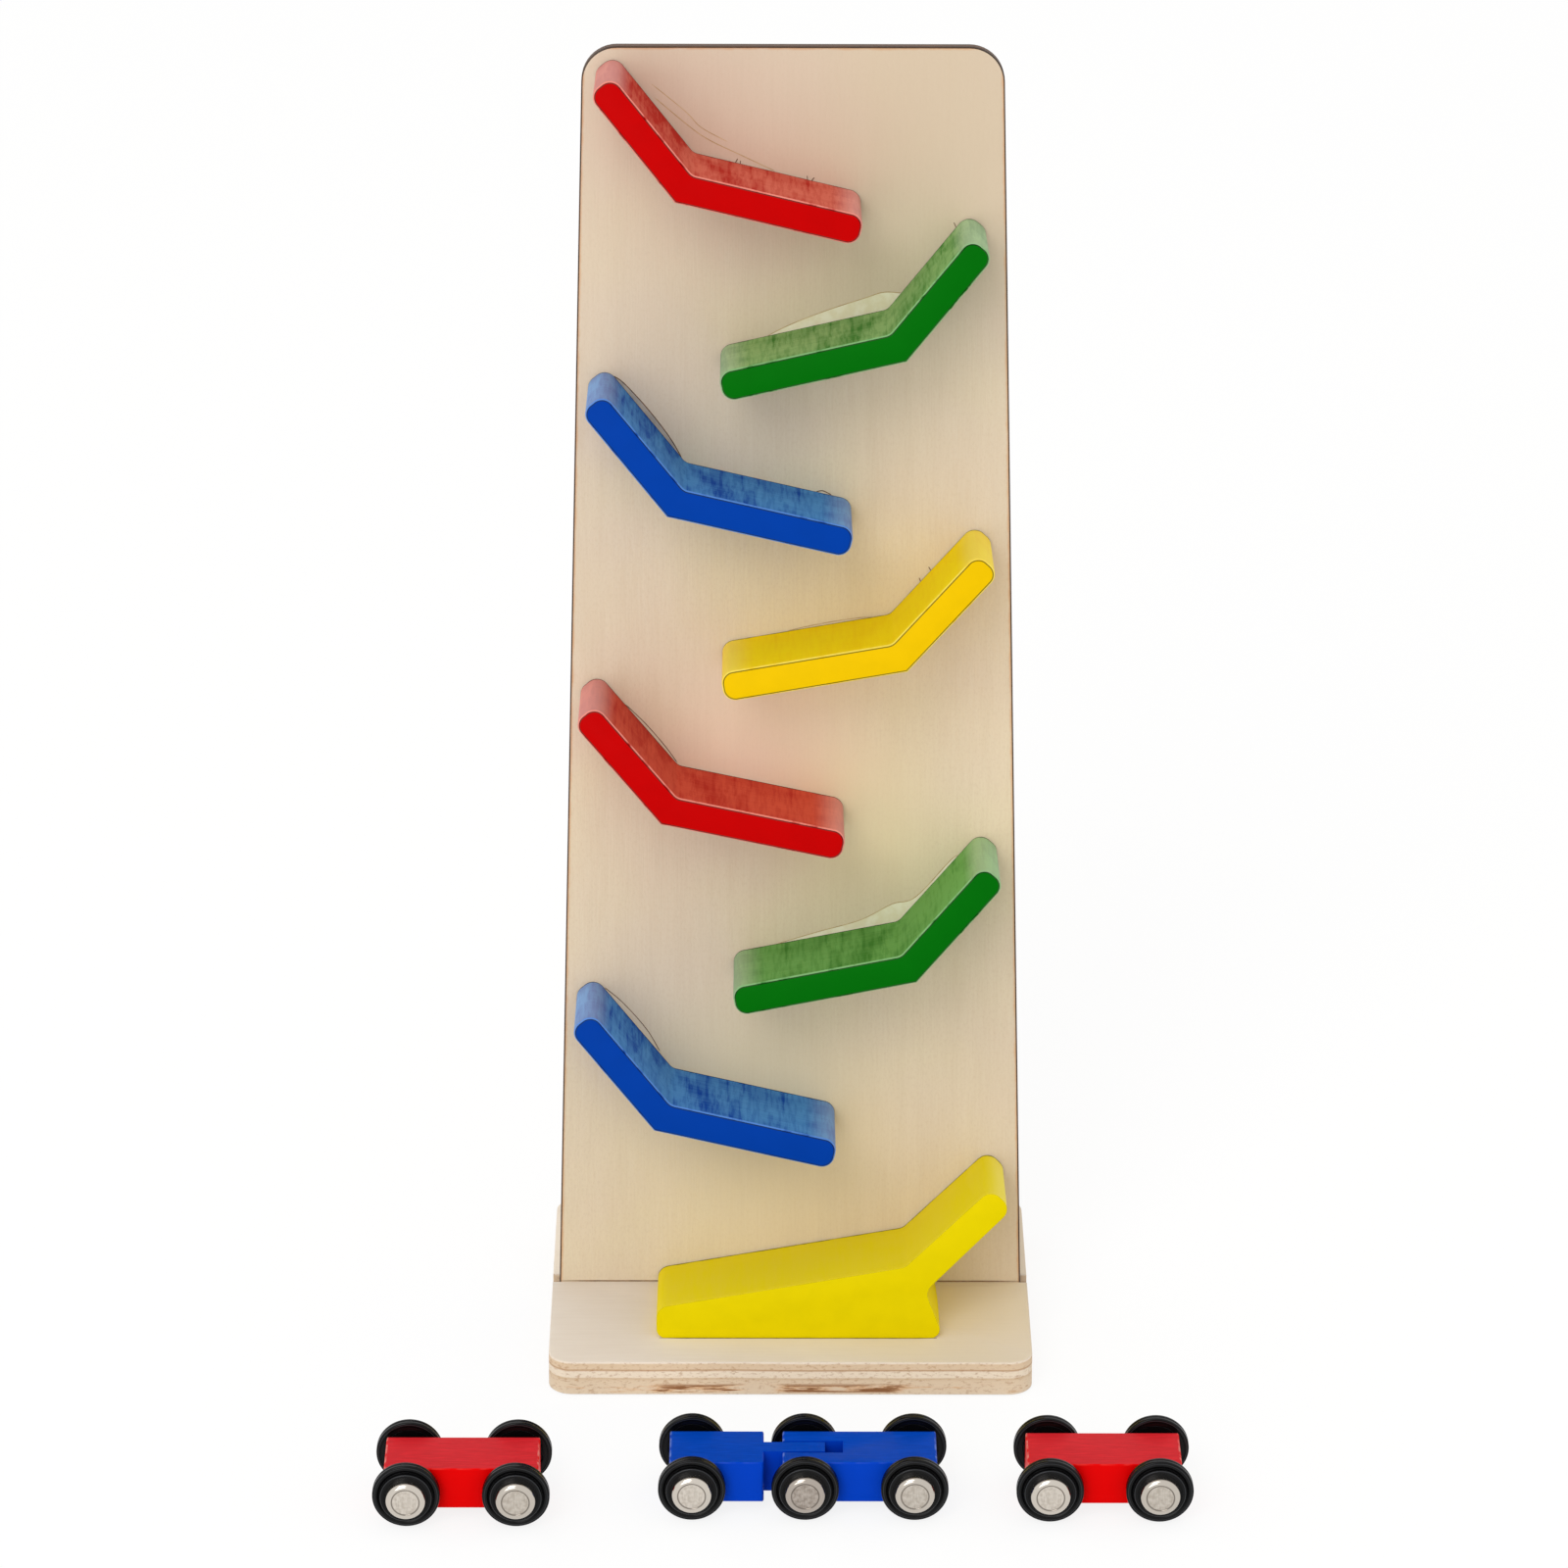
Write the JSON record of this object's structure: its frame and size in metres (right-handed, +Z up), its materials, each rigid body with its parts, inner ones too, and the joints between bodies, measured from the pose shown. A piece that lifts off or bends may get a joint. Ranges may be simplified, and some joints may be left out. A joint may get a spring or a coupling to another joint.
{
  "type": "click clack track toy",
  "caption": "Leaning plywood tower with zigzag painted ramps for rolling toy vehicles, shown with small wheeled cars and a hinged truck that run down it.",
  "frame": {"origin": "centre of the base plate's underside", "axes": "+X to the right along the base, front towards -Y, +Z up"},
  "size_m": [0.262, 0.2197, 0.4294],
  "materials": {
    "birch_ply": "bare sanded birch plywood",
    "paint_red": "red paint on wood, worn on top",
    "paint_green": "green paint on wood, worn on top",
    "paint_blue": "blue paint on wood, worn on top",
    "paint_yellow": "yellow paint on wood, worn on top",
    "car_red": "red paint on a wooden block",
    "car_blue": "blue paint on a wooden block",
    "wheel_black": "black satin plastic",
    "nickel_cap": "nickel plated, brushed face",
    "steel": "plain steel"
  },
  "bodies": {
    "tower": {"base_plate": "birch_ply", "back_panel": "birch_ply", "ramp_red_upper": "paint_red", "ramp_green_upper": "paint_green", "ramp_blue_upper": "paint_blue", "ramp_yellow_upper": "paint_yellow", "ramp_red_lower": "paint_red", "ramp_green_lower": "paint_green", "ramp_blue_lower": "paint_blue", "ramp_yellow_foot": "paint_yellow", "ramp_screws": "steel", "foot_screws": "steel"},
    "red_a": {"red_a_body": "car_red"},
    "red_a_wheels_left": {"red_a_axle_left": "steel", "red_a_wheel_left_near": "wheel_black", "red_a_wheel_left_far": "wheel_black", "red_a_cap_left_near": "nickel_cap", "red_a_cap_left_far": "nickel_cap"},
    "red_a_wheels_right": {"red_a_axle_right": "steel", "red_a_wheel_right_near": "wheel_black", "red_a_wheel_right_far": "wheel_black", "red_a_cap_right_near": "nickel_cap", "red_a_cap_right_far": "nickel_cap"},
    "red_b": {"red_b_body": "car_red"},
    "red_b_wheels_left": {"red_b_axle_left": "steel", "red_b_wheel_left_near": "wheel_black", "red_b_wheel_left_far": "wheel_black", "red_b_cap_left_near": "nickel_cap", "red_b_cap_left_far": "nickel_cap"},
    "red_b_wheels_right": {"red_b_axle_right": "steel", "red_b_wheel_right_near": "wheel_black", "red_b_wheel_right_far": "wheel_black", "red_b_cap_right_near": "nickel_cap", "red_b_cap_right_far": "nickel_cap"},
    "trailer": {"truck_trailer": "car_blue"},
    "tractor": {"truck_tractor": "car_blue"},
    "truck_wheels_left": {"truck_axle_left": "steel", "truck_wheel_left_near": "wheel_black", "truck_wheel_left_far": "wheel_black", "truck_cap_left_near": "nickel_cap", "truck_cap_left_far": "nickel_cap"},
    "truck_wheels_mid": {"truck_axle_mid": "steel", "truck_wheel_mid_near": "wheel_black", "truck_wheel_mid_far": "wheel_black", "truck_cap_mid_near": "nickel_cap", "truck_cap_mid_far": "nickel_cap"},
    "truck_wheels_right": {"truck_axle_right": "steel", "truck_wheel_right_near": "wheel_black", "truck_wheel_right_far": "wheel_black", "truck_cap_right_near": "nickel_cap", "truck_cap_right_far": "nickel_cap"}
  },
  "joints": [
    {"name": "red_a_roll", "type": "slide", "parent": "tower", "child": "red_a", "axis": [1, 0, 0], "range_m": [-0.2, 0.012]},
    {"name": "red_a_left_spin", "type": "hinge", "parent": "red_a", "child": "red_a_wheels_left", "pos_m": [-0.1229, -0.137, 0.0108], "axis": [0, 1, 0], "continuous": true},
    {"name": "red_a_right_spin", "type": "hinge", "parent": "red_a", "child": "red_a_wheels_right", "pos_m": [-0.0879, -0.137, 0.0108], "axis": [0, 1, 0], "continuous": true},
    {"name": "red_b_roll", "type": "slide", "parent": "tower", "child": "red_b", "axis": [1, 0, 0], "range_m": [-0.008, 0.2]},
    {"name": "red_b_left_spin", "type": "hinge", "parent": "red_b", "child": "red_b_wheels_left", "pos_m": [0.0825, -0.1336, 0.0108], "axis": [0, 1, 0], "continuous": true},
    {"name": "red_b_right_spin", "type": "hinge", "parent": "red_b", "child": "red_b_wheels_right", "pos_m": [0.1175, -0.1336, 0.0108], "axis": [0, 1, 0], "continuous": true},
    {"name": "truck_roll", "type": "slide", "parent": "tower", "child": "trailer", "axis": [1, 0, 0], "range_m": [-0.02, 0.01]},
    {"name": "truck_hitch", "type": "hinge", "parent": "trailer", "child": "tractor", "pos_m": [0.0043, -0.1326, 0.0108], "axis": [0, 1, 0], "range_deg": [-100, 100]},
    {"name": "truck_left_spin", "type": "hinge", "parent": "tractor", "child": "truck_wheels_left", "pos_m": [-0.0319, -0.1326, 0.0108], "axis": [0, 1, 0], "continuous": true},
    {"name": "truck_mid_spin", "type": "hinge", "parent": "trailer", "child": "truck_wheels_mid", "pos_m": [0.0043, -0.1326, 0.0108], "axis": [0, 1, 0], "continuous": true},
    {"name": "truck_right_spin", "type": "hinge", "parent": "trailer", "child": "truck_wheels_right", "pos_m": [0.0393, -0.1326, 0.0108], "axis": [0, 1, 0], "continuous": true}
  ],
  "couplings": [
    {"joint": "red_a_left_spin", "follows": "red_a_roll", "rad_per_m": 92.593},
    {"joint": "red_a_right_spin", "follows": "red_a_roll", "rad_per_m": 92.593},
    {"joint": "red_b_left_spin", "follows": "red_b_roll", "rad_per_m": 92.593},
    {"joint": "red_b_right_spin", "follows": "red_b_roll", "rad_per_m": 92.593},
    {"joint": "truck_left_spin", "follows": "truck_roll", "rad_per_m": 92.593},
    {"joint": "truck_mid_spin", "follows": "truck_roll", "rad_per_m": 92.593},
    {"joint": "truck_right_spin", "follows": "truck_roll", "rad_per_m": 92.593}
  ]
}
